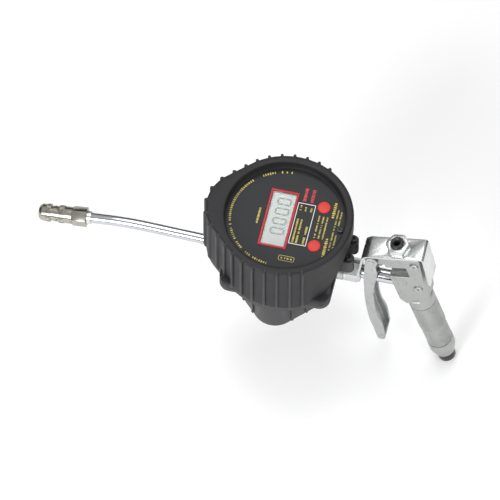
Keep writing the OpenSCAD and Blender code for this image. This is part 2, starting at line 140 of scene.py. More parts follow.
class Wire:
    """An output socket that takes part in arithmetic."""

    def __init__(self, graph, socket):
        self.graph = graph
        self.socket = socket

    def __add__(self, other):
        return self.graph.math("ADD", self, other)

    def __sub__(self, other):
        return self.graph.math("SUBTRACT", self, other)

    def __rsub__(self, other):
        return self.graph.math("SUBTRACT", other, self)

    def __mul__(self, other):
        return self.graph.math("MULTIPLY", self, other)

    def __truediv__(self, other):
        return self.graph.math("DIVIDE", self, other)

    def __pow__(self, other):
        return self.graph.math("POWER", self, other)

    __radd__ = __add__
    __rmul__ = __mul__

    def also(self, name):
        """Another output of the same node."""
        return Wire(self.graph, self.socket.node.outputs[name])


class Graph:
    """A node tree with one method that adds any node."""

    def __init__(self, tree):
        self.tree = tree

    def node(self, kind, settings=None, inputs=None, out=0):
        made = self.tree.nodes.new(kind)
        for name, value in (settings or {}).items():
            if name == "stops":
                self.set_stops(made.color_ramp, value)
            else:
                setattr(made, name, value)
        for name, value in (inputs or {}).items():
            if isinstance(value, Wire):
                self.tree.links.new(value.socket, made.inputs[name])
            else:
                made.inputs[name].default_value = value
        return Wire(self, made.outputs[out]) if made.outputs else made

    def set_stops(self, ramp, stops):
        while len(ramp.elements) < len(stops):
            ramp.elements.new(0.5)
        for element, (place, colour) in zip(ramp.elements, stops):
            element.position = place
            element.color = (*colour, 1)

    def math(self, operation, *values):
        return self.node("ShaderNodeMath", {"operation": operation}, dict(enumerate(values)))

    def clip(self, value):
        """The value, held between 0 and 1."""
        return self.node("ShaderNodeMath", {"operation": "ADD", "use_clamp": True}, {0: value, 1: 0})


class Finish(Graph):
    """A material whose patterns are laid out in millimetres on the piece itself."""

    def __init__(self, name):
        self.material = bpy.data.materials.new(name)
        self.material.use_nodes = True
        super().__init__(self.material.node_tree)
        self.shader = self.tree.nodes["Principled BSDF"]
        point = self.node("ShaderNodeTexCoord", out="Object")
        self.mm = self.node("ShaderNodeVectorMath", {"operation": "SCALE"},
                            {0: point, "Scale": 1 / MM})
        self.parts = self.node("ShaderNodeSeparateXYZ", inputs={0: self.mm})

    def stretched(self, place, across, lengthwise):
        """The pattern's space with its Z along a place's axis, and its two directions scaled."""
        turn = place.to_3x3().inverted().to_euler()
        turned = self.node("ShaderNodeMapping", inputs={"Vector": self.mm, "Rotation": turn})
        return self.node("ShaderNodeMapping", inputs={
            "Vector": turned, "Scale": (across, across, lengthwise)})

    def noise(self, per_mm, detail=3, rough=0.5, space=None):
        return self.node("ShaderNodeTexNoise", inputs={
            "Vector": space or self.mm, "Scale": per_mm, "Detail": detail, "Roughness": rough})

    def cells(self, per_mm, space=None):
        return self.node("ShaderNodeTexVoronoi", inputs={"Vector": space or self.mm, "Scale": per_mm})

    def step(self, value, low, high):
        """Rises from 0 to 1 between two values."""
        return self.node("ShaderNodeMapRange", {"interpolation_type": "SMOOTHSTEP"}, {
            "Value": value, "From Min": low, "From Max": high})

    def blend(self, share, first, second):
        mix = self.node("ShaderNodeMix", {"data_type": "RGBA"}, {0: share}, out=2)
        for socket, colour in ((6, first), (7, second)):
            if isinstance(colour, Wire):
                self.tree.links.new(colour.socket, mix.socket.node.inputs[socket])
            else:
                mix.socket.node.inputs[socket].default_value = (*colour, 1)
        return mix

    def attribute(self, name):
        return self.node("ShaderNodeAttribute", {"attribute_name": name}, out="Fac")

    def bump(self, height, depth_mm, under=None):
        inputs = {"Height": height, "Strength": 1.0, "Distance": depth_mm * MM}
        if under:
            inputs["Normal"] = under
        return self.node("ShaderNodeBump", inputs=inputs)

    def set(self, **values):
        """Sets the shader's sockets, such as base_color or coat_weight."""
        for name, value in values.items():
            socket = self.shader.inputs[name.replace("_", " ").title().replace("Ior", "IOR")]
            if isinstance(value, Wire):
                self.tree.links.new(value.socket, socket)
            elif isinstance(value, tuple):
                socket.default_value = (*value, 1)
            else:
                socket.default_value = value
        return self.material


# ---- finishes ---------------------------------------------------------------

def moulded(name, dark, pale, rough, grain_per_mm, grain_mm, specular=0.5):
    """Black rubber or plastic: moulded grain, a clouded tone, dust and rubbed crests."""
    f = Finish(name)
    cloud = f.noise(0.035, 4)
    dust = f.step(f.noise(0.5, 6, 0.7), 0.56, 0.75)
    grain = f.noise(grain_per_mm, 2)
    rubbed = f.attribute("rubbed")
    tone = f.clip(cloud * 0.5 + dust * 0.18 + rubbed * 0.55)
    scuffs = f.step(f.noise(0.9, 5, 0.75, f.stretched(UPRIGHT, 0.4, 2.5)), 0.62, 0.7)
    return f.set(
        base_color=f.blend(tone, dark, pale),
        roughness=f.clip(rough + (cloud - 0.5) * 0.22 + dust * 0.1 - rubbed * 0.1 - scuffs * 0.05),
        specular_ior_level=specular,
        normal=f.bump(grain + scuffs * 0.4, grain_mm))


def printed_film(name, colour, speckle):
    """The satin film on the meter's face."""
    f = Finish(name)
    fine = f.noise(6, 2)
    wipe = f.noise(0.05, 4, 0.6, f.stretched(UPRIGHT, 0.5, 1))
    faded = tuple(c * 2.4 for c in colour)
    return f.set(
        base_color=f.blend(f.step(fine, 0.4, 0.8) * speckle + wipe * 0.3, colour, faded),
        roughness=0.46 + wipe * 0.14, coat_weight=0.05, specular_ior_level=0.25, normal=f.bump(fine, 0.006))


def ink(name, colour):
    """Printing ink, worn thin in small patches."""
    f = Finish(name)
    patchy = f.noise(2.5, 4, 0.6)
    worn = tuple(c * 0.55 for c in colour)
    return f.set(base_color=f.blend(f.step(patchy, 0.45, 0.8) * 0.35, colour, worn),
                 roughness=0.42 + patchy * 0.12, normal=f.bump(patchy, 0.004))


def plated(name, bright, shade, rough, place, cloud_per_mm=0.12, depth_mm=0.01, stretch=(3.0, 0.05)):
    """Bright plating with drawn lines along a place's axis, a clouded sheen and small pits."""
    f = Finish(name)
    lines = f.noise(1.0, 3, 0.6, f.stretched(place, *stretch))
    cloud = f.noise(cloud_per_mm, 4, 0.55)
    pits = f.step(f.noise(1.6, 3, 0.7), 0.66, 0.78)
    return f.set(
        base_color=f.blend(f.clip(cloud * 0.7 + pits * 0.3), bright, shade),
        metallic=1.0,
        roughness=f.clip(rough + (cloud - 0.45) * rough * 1.1 + lines * rough * 0.6 + pits * 0.08),
        normal=f.bump(lines * 0.6 + cloud * 0.8 - pits * 0.3, depth_mm))


def cast(name, bright, shade, rough, skin_mm):
    """Tumbled die casting: soft lumps, a fine sandy skin, small pits and darker stains."""
    f = Finish(name)
    lumps = f.noise(0.09, 3, 0.5)
    sand = f.noise(2.2, 3, 0.65)
    stain = f.step(f.noise(0.16, 5, 0.62), 0.5, 0.78)
    pits = f.step(f.cells(0.7), 0.16, 0.05)
    return f.set(
        base_color=f.blend(f.clip(stain * 0.6 + sand * 0.25 + pits * 0.3), bright, shade),
        metallic=0.82,
        roughness=f.clip(rough + (sand - 0.5) * 0.2 + stain * 0.12 + pits * 0.1),
        normal=f.bump(sand * 0.8 - pits * 0.7, skin_mm, f.bump(lumps, 0.5)))


def machined(name, bright, shade, rough, place, rings_per_mm=1.5):
    """Turned or milled metal with close tool marks round a place's axis."""
    f = Finish(name)
    marks = f.noise(rings_per_mm, 2, 0.6, f.stretched(place, 0.15, 3))
    cloud = f.noise(0.1, 3)
    return f.set(base_color=f.blend(cloud * 0.6, bright, shade), metallic=1.0,
                 roughness=f.clip(rough + (marks - 0.5) * 0.16 + cloud * 0.06),
                 normal=f.bump(marks, 0.012))


def silicone(name, colour, deep):
    """Soft red key rubber, a little darker in patches, with a faint bloom."""
    f = Finish(name)
    cloud = f.noise(0.4, 4)
    grain = f.noise(5, 2)
    return f.set(base_color=f.blend(cloud * 0.5, colour, deep), roughness=0.42 + cloud * 0.16,
                 subsurface_weight=0.04, subsurface_scale=0.001, specular_ior_level=0.3,
                 normal=f.bump(grain, 0.012))


def display_film(name):
    """Pale grey reflective film, with painted shade that leaves it darker towards -Y and paler towards +Y, and a
    painted glow.
    """
    f = Finish(name)
    # Painted shade: the film's colour ramps from darker at -Y to paler at +Y across the panel.
    shade = f.step(f.parts.also("Y"), -30, 30)
    grain = f.noise(4, 3)
    return f.set(base_color=f.blend(shade * 0.45 + grain * 0.12, (0.5, 0.53, 0.505), (0.61, 0.63, 0.62)),
                 # Painted glow: the film gives off light of its own, though nothing lights it from behind.
                 roughness=0.55 + grain * 0.1, emission_color=(0.8, 0.85, 0.83), emission_strength=0.13,
                 normal=f.bump(grain, 0.004))


def clear_window(name):
    """The clear plastic over the display, with a faint smear."""
    f = Finish(name)
    smear = f.noise(0.12, 4, 0.6)
    return f.set(base_color=(0.95, 0.97, 0.96), roughness=0.03 + f.step(smear, 0.5, 0.8) * 0.1,
                 transmission_weight=1.0, ior=1.2, normal=f.bump(smear, 0.02))


def circuit(name):
    """Solder mask over copper tracks."""
    f = Finish(name)
    tracks = f.step(f.node("ShaderNodeTexBrick", inputs={
        "Vector": f.mm, "Scale": 0.35, "Mortar Size": 0.06, "Mortar Smooth": 0.2}, out="Fac"), 0.2, 0.8)
    pads = f.step(f.cells(0.22), 0.22, 0.16)
    mask = f.clip(tracks + pads)
    green = f.blend(tracks, (0.01, 0.11, 0.045), (0.03, 0.2, 0.08))
    return f.set(base_color=f.blend(pads, green, (0.75, 0.7, 0.6)),
                 metallic=pads * 0.9, roughness=0.38 + mask * 0.1, normal=f.bump(mask, 0.04))


def floor_paint(name):
    """The pale studio floor, which glows a little so that it stays white."""
    f = Finish(name)
    grain = f.noise(0.02, 3)
    return f.set(base_color=f.blend(grain * 0.3, (0.86, 0.86, 0.86), (0.83, 0.83, 0.835)),
                 roughness=0.85 + grain * 0.1, specular_ior_level=0.1,
                 emission_color=(1.0, 1.0, 1.0), emission_strength=0.14)


TUBE_AXIS = along((0, 0, 0), (1, 0, -0.03))
RUBBER = moulded("guard_rubber", (0.0085, 0.0085, 0.0097), (0.034, 0.034, 0.037), 0.56, 2.6, 0.035, 0.34)
SHELL_BLACK = moulded("shell_black", (0.018, 0.018, 0.0195), (0.058, 0.058, 0.061), 0.5, 1.8, 0.05)
SEAL_BLACK = moulded("seal_black", (0.01, 0.01, 0.011), (0.035, 0.035, 0.036), 0.45, 3.5, 0.015)
PLUG_BLACK = moulded("plug_black", (0.014, 0.014, 0.015), (0.05, 0.05, 0.053), 0.42, 3.0, 0.02)
SWIVEL_BLACK = moulded("swivel_black", (0.009, 0.009, 0.01), (0.034, 0.034, 0.036), 0.34, 1.5, 0.02)
SCREW_BLACK = moulded("black_oxide", (0.014, 0.014, 0.015), (0.05, 0.05, 0.054), 0.36, 1.8, 0.012)
FACE_FILM = printed_film("face_film", (0.0115, 0.012, 0.0135), 0.3)
BEZEL_RED = printed_film("bezel_red", (0.42, 0.022, 0.035), 0.2)
INK_YELLOW = ink("ink_yellow", (0.62, 0.52, 0.09))
INK_WHITE = ink("ink_white", (0.82, 0.82, 0.8))
INK_RED = ink("ink_red", (0.6, 0.03, 0.06))
SEGMENT_GREY = ink("display_segments", (0.29, 0.31, 0.31))
KEY_RED = silicone("key_silicone", (0.64, 0.055, 0.04), (0.47, 0.028, 0.026))
LCD_FILM = display_film("display_film")
WINDOW = clear_window("display_window")
CHROME = plated("tube_chrome", (0.6, 0.615, 0.63), (0.44, 0.455, 0.475), 0.1, TUBE_AXIS, 0.08, 0.006)
ZINC = plated("bright_zinc", (0.72, 0.735, 0.73), (0.5, 0.525, 0.52), 0.2, PISTOL, 0.1, 0.02, (0.8, 0.3))
NICKEL = plated("nickel", (0.47, 0.452, 0.405), (0.27, 0.258, 0.225), 0.17, COUPLER, 0.25, 0.008)
STEEL = plated("bright_steel", (0.58, 0.585, 0.59), (0.38, 0.38, 0.385), 0.24, PISTOL, 0.4, 0.012)
CAST_BODY = cast("cast_body", (0.42, 0.432, 0.42), (0.26, 0.267, 0.256), 0.44, 0.05)
CAST_HANDLE = cast("cast_handle", (0.42, 0.43, 0.417), (0.25, 0.257, 0.247), 0.42, 0.055)
CAST_LEVER = cast("cast_lever", (0.5, 0.515, 0.512), (0.31, 0.32, 0.315), 0.38, 0.04)
METER_METAL = machined("meter_aluminium", (0.6, 0.605, 0.62), (0.42, 0.425, 0.44), 0.36, UPRIGHT)
GEAR_METAL = machined("gear_steel", (0.62, 0.63, 0.65), (0.45, 0.46, 0.48), 0.28, UPRIGHT)
WASHER = machined("sealing_washer", (0.5, 0.49, 0.47), (0.36, 0.35, 0.335), 0.36, FLOW)
BOARD = circuit("circuit_board")
BATTERY = printed_film("battery_sleeve", (0.05, 0.055, 0.065), 0.2)


# ---- mesh making ------------------------------------------------------------

def new_piece(name, points, faces, place=UPRIGHT):
    """A piece from points in millimetres, put at a place. Its object stays at the origin."""
    mesh = bpy.data.meshes.new(name)
    mesh.from_pydata([place @ Vector(point) * MM for point in points], [], faces)
    piece = bpy.data.objects.new(name, mesh)
    bpy.context.scene.collection.objects.link(piece)
    return piece


def made_plain(piece):
    """Applies every modifier."""
    graph = bpy.context.evaluated_depsgraph_get()
    mesh = bpy.data.meshes.new_from_object(piece.evaluated_get(graph))
    piece.modifiers.clear()
    piece.data = mesh
    return piece


def modified(piece, kind, **settings):
    modifier = piece.modifiers.new(kind.lower(), kind)
    for name, value in settings.items():
        setattr(modifier, name, value)
    return made_plain(piece)


def tidied(piece, merge_mm=0.001, flat=0.0):
    """Merges doubles, drops slivers and joins flat faces."""
    mesh = bmesh.new()
    mesh.from_mesh(piece.data)
    bmesh.ops.remove_doubles(mesh, verts=mesh.verts, dist=merge_mm * MM)
    bmesh.ops.dissolve_degenerate(mesh, edges=mesh.edges, dist=merge_mm * MM)
    if flat:
        bmesh.ops.dissolve_limit(mesh, angle_limit=flat, verts=mesh.verts, edges=mesh.edges)
    mesh.to_mesh(piece.data)
    mesh.free()
    return piece


def facing_out(piece):
    mesh = bmesh.new()
    mesh.from_mesh(piece.data)
    bmesh.ops.recalc_face_normals(mesh, faces=mesh.faces)
    mesh.to_mesh(piece.data)
    mesh.free()
    return piece


def carved(piece, *cutters):
    for cutter in cutters:
        modified(piece, "BOOLEAN", operation="DIFFERENCE", solver="EXACT", object=cutter)
        bpy.data.objects.remove(cutter)
    return tidied(piece, flat=radians(0.3))


def edged(piece, width_mm, steps=2, angle=32):
    """Rounds the sharp edges."""
    return modified(piece, "BEVEL", width=width_mm * MM, segments=steps, limit_method="ANGLE",
                    angle_limit=radians(angle), miter_outer="MITER_ARC", use_clamp_overlap=True)


def smooth(piece, angle=34):
    """Smooth shading, with edges sharper than the angle kept crisp."""
    mesh = bmesh.new()
    mesh.from_mesh(piece.data)
    for face in mesh.faces:
        face.smooth = True
    for edge in mesh.edges:
        edge.smooth = edge.calc_face_angle(pi) < radians(angle)
    mesh.to_mesh(piece.data)
    mesh.free()
    return piece


def fitted(piece, body, material, slot, *nodes, angle=34):
    """Gives a piece its finish and its body, and lets it stand for its CAD nodes."""
    smooth(piece, angle)
    piece.data.materials.clear()
    piece.data.materials.append(material)
    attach(piece, body)
    if nodes:
        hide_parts(*nodes)
    return piece


def copy_of(node, name):
    """A merged copy of a CAD node's mesh, as a new piece."""
    piece = bpy.data.objects.new(name, NODES[node].data.copy())
    bpy.context.scene.collection.objects.link(piece)
    return tidied(piece, flat=radians(0.4))


def softened(node, width_mm, body, material, steps=2, angle=32):
    """A CAD node with its sharp edges broken, as they are on the real piece."""
    piece = edged(copy_of(node, node + "_eased"), width_mm, steps, angle)
    return fitted(piece, body, material, slot_of(node), node, angle=angle + 2)


def slot_of(node):
    return next(part["material_slot"] for part in frame["record"]["subparts"] if part["node"] == node)


def cast_copy(node, voxel_mm, passes, body, material):
    """A CAD node with the soft edges and uneven skin of a casting."""
    piece = copy_of(node, node + "_cast")
    modified(piece, "REMESH", mode="VOXEL", voxel_size=voxel_mm * MM, use_smooth_shade=True)
    modified(piece, "SMOOTH", factor=0.5, iterations=passes)
    return fitted(piece, body, material, slot_of(node), node, angle=60)


def rounded_line(points, steps=5):
    """Points of a line whose corners with a third value are rounded by that radius."""
    line = []
    for i, point in enumerate(points):
        here = Vector(point[:2])
        if len(point) < 3:
            line.append(here)
            continue
        before = Vector(points[i - 1][:2]) - here
        after = Vector(points[(i + 1) % len(points)][:2]) - here
        half = before.angle(after) / 2
        reach = point[2] / (sin(half) / cos(half))
        start, end = here + before.normalized() * reach, here + after.normalized() * reach
        for k in range(steps + 1):
            t = k / steps
            line.append(start * (1 - t) ** 2 + here * 2 * t * (1 - t) + end * t * t)
    return line


def turned(name, profile, place, closed=False, around=64):
    """A turned piece: a profile of radius and height, spun round a place's Z.
    An open profile starts and ends on the axis, and a closed one is a ring."""
    line = rounded_line(profile)
    points, rings = [], []
    for radius, height in line:
        if radius < 1e-6:
            rings.append([len(points)] * around)
            points.append((0, 0, height))
            continue
        rings.append(list(range(len(points), len(points) + around)))
        points += [(radius * cos(2 * pi * k / around), radius * sin(2 * pi * k / around), height)
                   for k in range(around)]
    if closed:
        rings.append(rings[0])
    return facing_out(new_piece(name, points, faces_between(rings), place))


def faces_between(rings):
    """Quads between neighbouring rings of point numbers, or triangles at a pole."""
    faces = []
    for lower, upper in zip(rings, rings[1:]):
        for k in range(len(lower)):
            n = (k + 1) % len(lower)
            corners = [lower[k], lower[n], upper[n], upper[k]]
            face = [c for i, c in enumerate(corners) if c != corners[i - 1]]
            if len(face) > 2:
                faces.append(face)
    return faces


def swept(name, path, radius, bore, around=40):
    """A tube along a path in the gun's middle plane, closed by a ring at each end."""
    points, outer, inner = [], [], []
    for size, rings in ((radius, outer), (bore, inner)):
        for i, here in enumerate(path):
            ahead = (path[min(i + 1, len(path) - 1)] - path[max(i - 1, 0)]).normalized()
            side = ACROSS.cross(ahead)
            rings.append(list(range(len(points), len(points) + around)))
            points += [here + size * (side * cos(2 * pi * k / around) + ACROSS * sin(2 * pi * k / around))
                       for k in range(around)]
    return facing_out(new_piece(name, points, faces_between(outer + inner[::-1] + outer[:1])))


# ---- meter shells -----------------------------------------------------------

NOSE_TANGENT = acos((GUARD_R - NOSE_R) / NOSE_OFFSET)
NOSE_EDGE = atan2(NOSE_R * sin(NOSE_TANGENT), NOSE_OFFSET + NOSE_R * cos(NOSE_TANGENT))


def guard_radius(turn):
    """Distance from the meter's axis to the guard's wall."""
    from_nose = abs(pi - turn % (2 * pi))
    if from_nose > NOSE_TANGENT:
        return GUARD_R
    if from_nose > NOSE_EDGE:
        return GUARD_R / cos(NOSE_TANGENT - from_nose)
    return NOSE_OFFSET * cos(from_nose) + sqrt(NOSE_R ** 2 - (NOSE_OFFSET * sin(from_nose)) ** 2)


def square_radius(turn, half, corner):
    """Distance from the middle to the edge of a square with round corners."""
    part = turn % (pi / 2)
    part = min(part, pi / 2 - part)
    if half * sin(part) / cos(part) <= half - corner:
        return half / cos(part)
    reach = (half - corner) * (sin(part) + cos(part))
    return reach + sqrt(reach ** 2 - 2 * (half - corner) ** 2 + corner ** 2)


def rib_share(turn, radius):
    """1 on the crest of a rib and 0 on the plain wall."""
    number = round((turn - pi) / RIB_PITCH)
    if abs(number) > RIBS_PER_SIDE:
        return 0
    off = abs(turn - pi - number * RIB_PITCH) * radius / RIB_HALF_W
    if off >= 1.25:
        return 0
    if off >= 1:
        return 0.16 * (1.25 - off)
    return sqrt(1 - max(0, (off - 0.3) / 0.7) ** 2) * 0.92 + 0.08 * (1.25 - off)


def wall_turns():
    """Angles round the wall, close together at each rib."""
    turns = [2 * pi * k / 200 for k in range(200)]
    for number in range(-RIBS_PER_SIDE, RIBS_PER_SIDE + 1):
        middle = pi + number * RIB_PITCH
        scale = RIB_HALF_W / guard_radius(middle)
        turns = [t for t in turns if abs(t - middle) > 1.5 * scale]
        turns += [middle + off * scale for off in RIB_STEPS]
    return sorted(turns)


def arch_floor(x, y):
    """Height of the guard's lower edge, which rises in an arch over the inlet."""
    if x < 0 or abs(y) >= ARCH_HALF_W:
        return SEAM_Z
    return SEAM_Z + ARCH_H * (1 - (y / ARCH_HALF_W) ** 2)


def guard_section(turn):
    """The guard's cut face at one angle: up the outside, over the rim and down the bore."""
    wall = guard_radius(turn)
    rib = rib_share(turn, wall) * RIB_H
    ear = max(wall, square_radius(turn, EAR_HALF, EAR_R))
    top = SEAM_Z + EAR_TOP
    rows = [(ear - 0.8, SEAM_Z), (ear, SEAM_Z + 0.8), (ear, top - 1.4), (ear - 0.3, top - 0.5),
            (max(wall, ear - 1.2), top), (wall, top + 0.2)]
    rows = [(max(r, wall + rib * min(1, max(0, (z - SEAM_Z) / 1.2))), z) for r, z in rows]
    rows += [(wall + rib, z) for z in (46, 54, 62, 70, 76, 82, 88, 93, RIM_Z - 2.2)]
    rows += [(wall - 0.15 + rib, RIM_Z - 1.3), (wall - 0.6 + rib * 0.95, RIM_Z - 0.6),
             (wall - 1.3 + rib * 0.7, RIM_Z - 0.15), (wall - 2.1, RIM_Z), (OPENING_R + 1.6, RIM_Z),
             (OPENING_R + 0.7, RIM_Z - 0.2), (OPENING_R + 0.15, RIM_Z - 0.8), (OPENING_R, RIM_Z - 1.6),
             (OPENING_R, FACE_Z + 0.2), (OPENING_R - 0.2, FACE_Z), (BORE_R, FACE_Z)]
    rows += [(BORE_R, z) for z in (80, 70, 60, 50, SEAM_Z)]
    section = []
    for radius, height in rows:
        floor = arch_floor(radius * cos(turn), radius * sin(turn))
        section.append((radius, max(height, floor)))
    return section


def guard():
    """The ribbed guard: one closed section after another round the meter."""
    points, rings, crest = [], [], []
    turns = wall_turns()
    for turn in turns:
        section = guard_section(turn)
        rings.append(list(range(len(points), len(points) + len(section))))
        points += [(r * cos(turn), r * sin(turn), z) for r, z in section]
        share = rib_share(turn, guard_radius(turn))
        wall = guard_radius(turn)
        crest += [share * (r > wall - 0.5) for r, z in section]
    piece = new_piece("guard_moulding", points, faces_between(rings + rings[:1]))
    mark_rubbed(piece, crest)
    tidied(piece, 0.02)
    facing_out(piece)
    return fitted(piece, "gun", RUBBER, "rubber_black", "rubber_guard", angle=50)


def mark_rubbed(piece, shares):
    """Where a surface stands proud and is rubbed paler."""
    layer = piece.data.attributes.new("rubbed", "FLOAT", "POINT")
    layer.data.foreach_set("value", shares)


def cut_flat(radius, turn, end):
    """A radius cut short where it would pass a flat end on the inlet side."""
    return end / cos(turn) if radius * cos(turn) > end else radius


def flange_radius(turn):
    """Outline of the lower shell's flange under the guard."""
    ear = square_radius(turn, EAR_HALF, EAR_R)
    return max(ear, cut_flat(guard_radius(turn) - 0.5, turn, 45))


def shell_section(turn):
    side = cut_flat(square_radius(turn + pi / 4, DIAMOND_HALF, DIAMOND_R), turn, SHELL_END)
    inner = square_radius(turn + pi / 4, DIAMOND_HALF - WALL * 1.06, DIAMOND_R - WALL)
    inner = cut_flat(inner, turn, SHELL_END - WALL)
    lip = max(side, flange_radius(turn))
    return [(side - 7, 0), (side - 2.2, 0), (side - 1.0, 0.35), (side - 0.25, 1.2), (side, 2.4),
            (side, 12), (side, FLANGE_LOW - 2), (max(side, lip - 2.5), FLANGE_LOW),
            (max(side, lip - 0.8), FLANGE_LOW), (lip, FLANGE_LOW + 0.8), (lip, SEAM_Z - 1.3),
            (lip - 0.7, SEAM_Z - 0.6), (lip - 0.7, SEAM_Z - 0.05),
            (inner, SEAM_Z - 0.05), (inner, 20), (inner, WALL + 1), (inner - 1, WALL), (inner - 6, WALL)]


def ports():
    """Cutters for the two flow openings and the four ear screws."""
    cutters = [turned("outlet_port", [(0, -90), (10.2, -90), (10.2, 0), (0, 0)], FLOW),
               turned("inlet_port", [(0, 0), (11.6, 0), (11.6, 90), (0, 90)], FLOW)]
    for x in (-1, 1):
        for y in (-1, 1):
            place = Matrix.Translation((x * (EAR_HALF - EAR_R), y * (EAR_HALF - EAR_R), 0))
            bore = [(0, 10), (4.3, 10), (4.3, 33), (2.2, 33), (2.2, 60), (0, 60)]
            cutters.append(turned("ear_bore", bore, place, around=32))
    return cutters


def shell():
    """The diamond-shaped lower shell, with its flange, ears, ports and screw holes."""
    turns = [2 * pi * k / 288 for k in range(288)]
    sections = [shell_section(turn) for turn in turns]
    points, rings = [], []
    for row in range(len(sections[0])):
        rings.append(list(range(len(points), len(points) + len(turns))))
        points += [(section[row][0] * cos(turn), section[row][0] * sin(turn), section[row][1])
                   for turn, section in zip(turns, sections)]
    faces = faces_between(rings) + [rings[0], rings[-1]]
    piece = facing_out(new_piece("shell_moulding", points, faces))
    carved(piece, *ports())
    return fitted(piece, "gun", SHELL_BLACK, "shell_black", "lower_shell", angle=40)


# ---- repeated details, by geometry nodes -------------------------------------

class Repeats(Graph):
    """A geometry tree with named inputs. It ends in realized copies with their material."""

    def __init__(self, name, inputs):
        super().__init__(bpy.data.node_groups.new(name, "GeometryNodeTree"))
        face = self.tree.interface
        face.new_socket("Geometry", in_out="INPUT", socket_type="NodeSocketGeometry")
        self.names = {}
        for label, kind in inputs.items():
            socket = face.new_socket(label, in_out="INPUT", socket_type="NodeSocket" + kind)
            self.names[label] = socket.identifier
        face.new_socket("Geometry", in_out="OUTPUT", socket_type="NodeSocketGeometry")
        self.inputs = self.tree.nodes.new("NodeGroupInput")

    def given(self, label):
        return Wire(self, self.inputs.outputs[label])

    def vector(self, x=0, y=0, z=0):
        return self.node("ShaderNodeCombineXYZ", inputs={0: x, 1: y, 2: z})

    def end(self, instances):
        real = self.node("GeometryNodeRealizeInstances", inputs={0: instances})
        done = self.node("GeometryNodeSetMaterial", inputs={
            "Geometry": real, "Material": self.given("Finish")})
        self.node("NodeGroupOutput", inputs={"Geometry": done})
        return self

    def grown_on(self, piece, **values):
        """Runs the tree on a piece and leaves a plain mesh."""
        modifier = piece.modifiers.new(self.tree.name, "NODES")
        modifier.node_group = self.tree
        for label, value in values.items():
            modifier[self.names[label.replace("_", " ").title()]] = value
        return made_plain(piece)


def marks_tree():
    """Small raised bars of ink on given points, with word gaps and uneven widths."""
    t = Repeats("printed_marks", {"Width": "Float", "Height": "Float", "Film": "Float",
                                  "Gap Share": "Float", "Seed": "Int", "Finish": "Material"})

    def chance(least, seed):
        """A random share for each mark, from least up to 1."""
        return t.node("FunctionNodeRandomValue", {"data_type": "FLOAT"},
                      {2: least, 3: 1.0, "Seed": seed}, 1)

    bar = t.node("GeometryNodeMeshCube", inputs={
        "Size": t.vector(t.given("Width"), t.given("Height"), t.given("Film"))})
    heading = t.node("GeometryNodeInputNamedAttribute", {"data_type": "FLOAT"}, {"Name": "heading"})
    kept = t.node("FunctionNodeCompare", {"data_type": "FLOAT", "operation": "GREATER_THAN"},
                  {0: chance(0.0, t.given("Seed")), 1: t.given("Gap Share")})
    size = chance(0.45, t.given("Seed") + 7)
    tall = chance(0.7, t.given("Seed") + 3)
    copies = t.node("GeometryNodeInstanceOnPoints", inputs={
        "Points": t.given("Geometry"), "Selection": kept, "Instance": bar,
        "Rotation": t.vector(0, 0, heading), "Scale": t.vector(size, tall, 1)})
    return t.end(copies)


def knurl_tree():
    """Rows of small pyramids round a band, each row turned by half a step."""
    t = Repeats("knurl_band", {"Radius": "Float", "Start": "Float", "Pitch": "Float", "Around": "Int",
                               "Rows": "Int", "Size": "Float", "Depth": "Float", "Finish": "Material"})
    number = t.node("GeometryNodeInputIndex")
    row = t.math("FLOOR", number / t.given("Around"))
    turn = (number - row * t.given("Around") + row * 0.5) / t.given("Around") * (2 * pi)
    line = t.node("GeometryNodeMeshLine", inputs={"Count": t.given("Around") * t.given("Rows")})
    spot = t.vector(t.given("Radius") * t.math("COSINE", turn), t.given("Radius") * t.math("SINE", turn),
                    t.given("Start") + row * t.given("Pitch"))
    points = t.node("GeometryNodeSetPosition", inputs={"Geometry": line, "Position": spot})
    tooth = t.node("GeometryNodeMeshCone", inputs={
        "Vertices": 4, "Radius Top": t.given("Size") * 0.25, "Radius Bottom": t.given("Size"),
        "Depth": t.given("Depth")})
    copies = t.node("GeometryNodeInstanceOnPoints", inputs={
        "Points": points, "Instance": tooth, "Rotation": t.vector(0, pi / 2, turn)})
    return t.end(copies)


def fins_tree():
    """Upright fins on the four sides of a diamond, evenly spaced."""
    t = Repeats("shell_fins", {"Side": "Float", "Spacing": "Float", "Per Side": "Int", "End": "Float",
                               "Fin": "Object", "Finish": "Material"})
    number = t.node("GeometryNodeInputIndex")
    side = t.math("FLOOR", number / t.given("Per Side"))
    place = (number - side * t.given("Per Side") - (t.given("Per Side") - 1) * 0.5) * t.given("Spacing")
    turn = (side + 0.5) * (pi / 2)
    out, along_side = t.math("COSINE", turn), t.math("SINE", turn)
    line = t.node("GeometryNodeMeshLine", inputs={"Count": t.given("Per Side") * 4})
    spot = t.vector(out * t.given("Side") - along_side * place,
                    along_side * t.given("Side") + out * place, 0)
    points = t.node("GeometryNodeSetPosition", inputs={"Geometry": line, "Position": spot})
    fin = t.node("GeometryNodeObjectInfo", inputs={"Object": t.given("Fin")}, out="Geometry")
    spot_x = t.node("ShaderNodeSeparateXYZ", inputs={0: t.node("GeometryNodeInputPosition")})
    short_of_end = t.node("FunctionNodeCompare", {"data_type": "FLOAT", "operation": "LESS_THAN"},
                          {0: spot_x, 1: t.given("End")})
    copies = t.node("GeometryNodeInstanceOnPoints", inputs={
        "Points": points, "Selection": short_of_end, "Instance": fin, "Rotation": t.vector(0, 0, turn)})
    return t.end(copies)


MARKS = marks_tree()
KNURLS = knurl_tree()
FINS = fins_tree()


